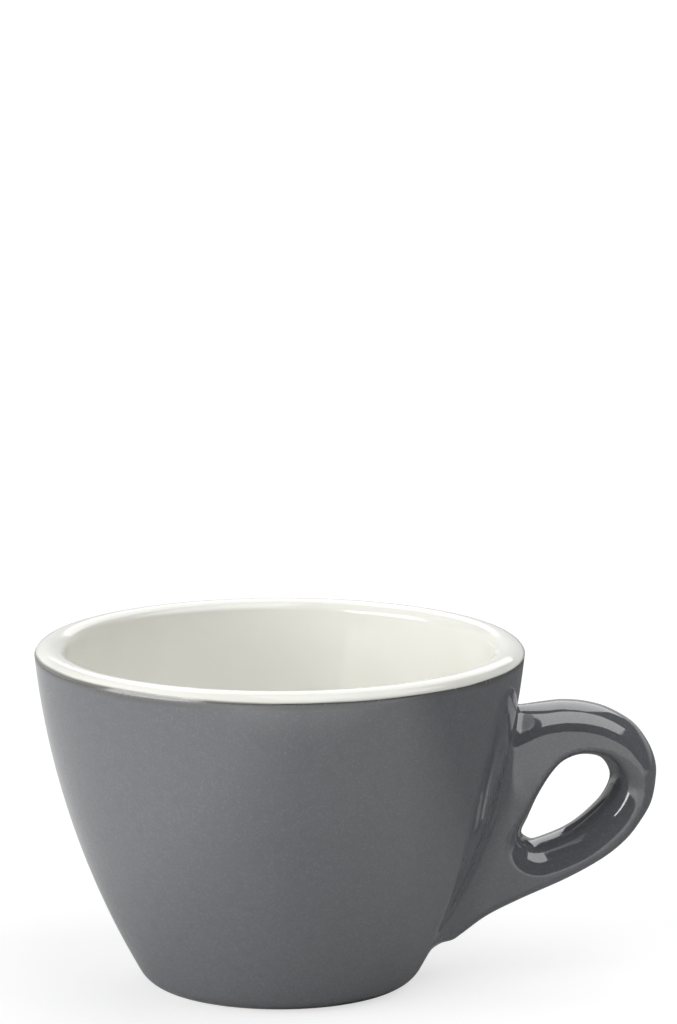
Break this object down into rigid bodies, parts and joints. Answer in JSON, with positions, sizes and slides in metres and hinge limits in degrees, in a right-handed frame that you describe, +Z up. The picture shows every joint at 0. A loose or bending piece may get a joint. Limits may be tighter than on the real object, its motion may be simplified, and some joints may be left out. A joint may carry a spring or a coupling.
{
  "type": "flat white cup",
  "caption": "Round stoneware coffee cup with a flared bowed wall, thick rounded lip and closed loop handle, glazed grey outside and white inside, for milk coffee.",
  "frame": {"origin": "on the cup's axis, level with the foot ring that it stands on", "axes": "+Z up along the cup's axis, +X from the axis out along the middle of the handle"},
  "size_m": [0.1091, 0.0848, 0.06],
  "materials": {
    "fired_clay": "bare fired stoneware, fine and matt",
    "slip": "fired slip, matt",
    "white_glaze": "glossy warm white glaze",
    "grey_glaze": "glossy mid grey glaze with a faint mottle"
  },
  "bodies": {
    "root": {"cup_body": "fired_clay", "handle": "fired_clay", "handle_slip": "slip", "white_glaze": "white_glaze", "grey_glaze": "grey_glaze", "foot_glaze": "grey_glaze"}
  },
  "joints": []
}
